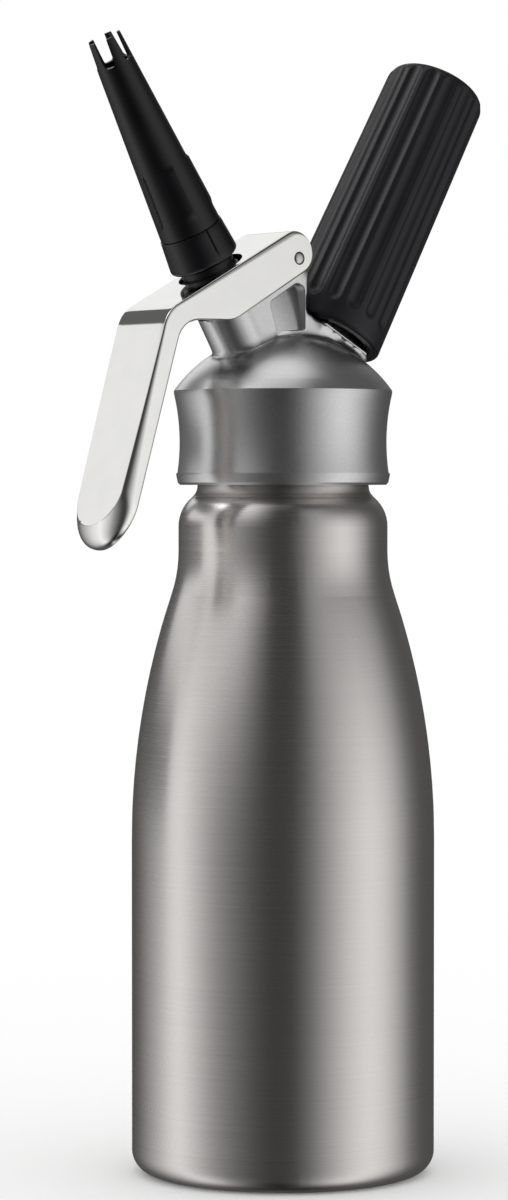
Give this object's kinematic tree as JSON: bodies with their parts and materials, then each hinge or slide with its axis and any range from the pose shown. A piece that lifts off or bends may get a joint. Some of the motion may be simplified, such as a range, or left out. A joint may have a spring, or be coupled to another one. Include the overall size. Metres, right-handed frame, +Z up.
{
  "type": "cream whipper",
  "caption": "Steel cream whipper bottle with a screwed metal head, a squeeze lever over its valve, a slotted dispensing nozzle and a fluted gas charger holder.",
  "frame": {"origin": "centre of the bottle's foot, on the surface it stands on", "axes": "+Z up along the bottle's axis, the lever and nozzle lean towards -X and the charger holder towards +X"},
  "size_m": [0.1274, 0.08, 0.2975],
  "materials": {
    "bottle_steel": "horizontally brushed",
    "head_metal": "fine blasted satin",
    "lever_metal": "polished",
    "pin_steel": "ground",
    "valve_steel": "turned",
    "spring_steel": "drawn wire",
    "needle_steel": "ground",
    "piercing_brass": "turned",
    "retainer_metal": "turned",
    "sleeve_metal": "drawn tube",
    "seal_rubber": "moulded",
    "gasket_rubber": "moulded silicone",
    "adapter_plastic": "moulded",
    "nozzle_plastic": "satin moulded",
    "holder_plastic": "satin moulded"
  },
  "bodies": {
    "bottle": {"bottle": "bottle_steel"},
    "head_lift": {"head_gasket": "gasket_rubber"},
    "head": {"head_casting": "head_metal", "pivot_pin": "pin_steel", "valve_spring": "spring_steel", "piercing_body": "piercing_brass", "piercing_needle": "needle_steel", "charger_seal": "seal_rubber", "check_valve": "seal_rubber", "check_retainer": "retainer_metal"},
    "lever": {"lever": "lever_metal"},
    "valve": {"valve_stem": "valve_steel", "stem_o_ring": "seal_rubber", "valve_seal": "seal_rubber", "seal_washer": "valve_steel", "seal_nut": "valve_steel", "thrust_ring": "adapter_plastic", "nozzle_adapter": "adapter_plastic"},
    "nozzle_lift": {"nozzle_seal": "seal_rubber"},
    "nozzle": {"nozzle": "nozzle_plastic"},
    "charger_lift": {"charger_sleeve": "sleeve_metal"},
    "charger_holder": {"charger_holder": "holder_plastic"}
  },
  "joints": [
    {"name": "head_raise", "type": "slide", "parent": "bottle", "child": "head_lift", "axis": [0, 0, 1], "range_m": [0, 0.009]},
    {"name": "head_turn", "type": "hinge", "parent": "head_lift", "child": "head", "pos_m": [0, 0, 0.19], "axis": [0, 0, 1], "range_deg": [0, 810.5]},
    {"name": "lever_press", "type": "hinge", "parent": "head", "child": "lever", "pos_m": [-0.00279, 0, 0.24087], "axis": [0, -1, 0], "range_deg": [0, 7], "stiffness_Nm_per_rad": 4, "springref_deg": -6.88},
    {"name": "valve_push", "type": "slide", "parent": "head", "child": "valve", "axis": [0.5, 0, -0.866], "range_m": [0, 0.00251], "deforming": ["valve_spring"]},
    {"name": "nozzle_raise", "type": "slide", "parent": "valve", "child": "nozzle_lift", "axis": [-0.5, 0, 0.866], "range_m": [0, 0.005]},
    {"name": "nozzle_turn", "type": "hinge", "parent": "nozzle_lift", "child": "nozzle", "pos_m": [0, 0, 0.19503], "axis": [-0.5, 0, 0.866], "range_deg": [0, 900.5]},
    {"name": "charger_raise", "type": "slide", "parent": "head", "child": "charger_lift", "axis": [0.4909, 0, 0.8712], "range_m": [0, 0.009]},
    {"name": "charger_turn", "type": "hinge", "parent": "charger_lift", "child": "charger_holder", "pos_m": [0, 0, 0.19503], "axis": [0.4909, 0, 0.8712], "range_deg": [0, 1080.5]}
  ],
  "couplings": [
    {"joint": "head_turn", "follows": "head_raise", "rad_per_m": 1570.8},
    {"joint": "valve_push", "follows": "lever_press", "m_per_rad": 0.0205},
    {"joint": "nozzle_turn", "follows": "nozzle_raise", "rad_per_m": 3141.6},
    {"joint": "charger_turn", "follows": "charger_raise", "rad_per_m": 2094.4}
  ]
}
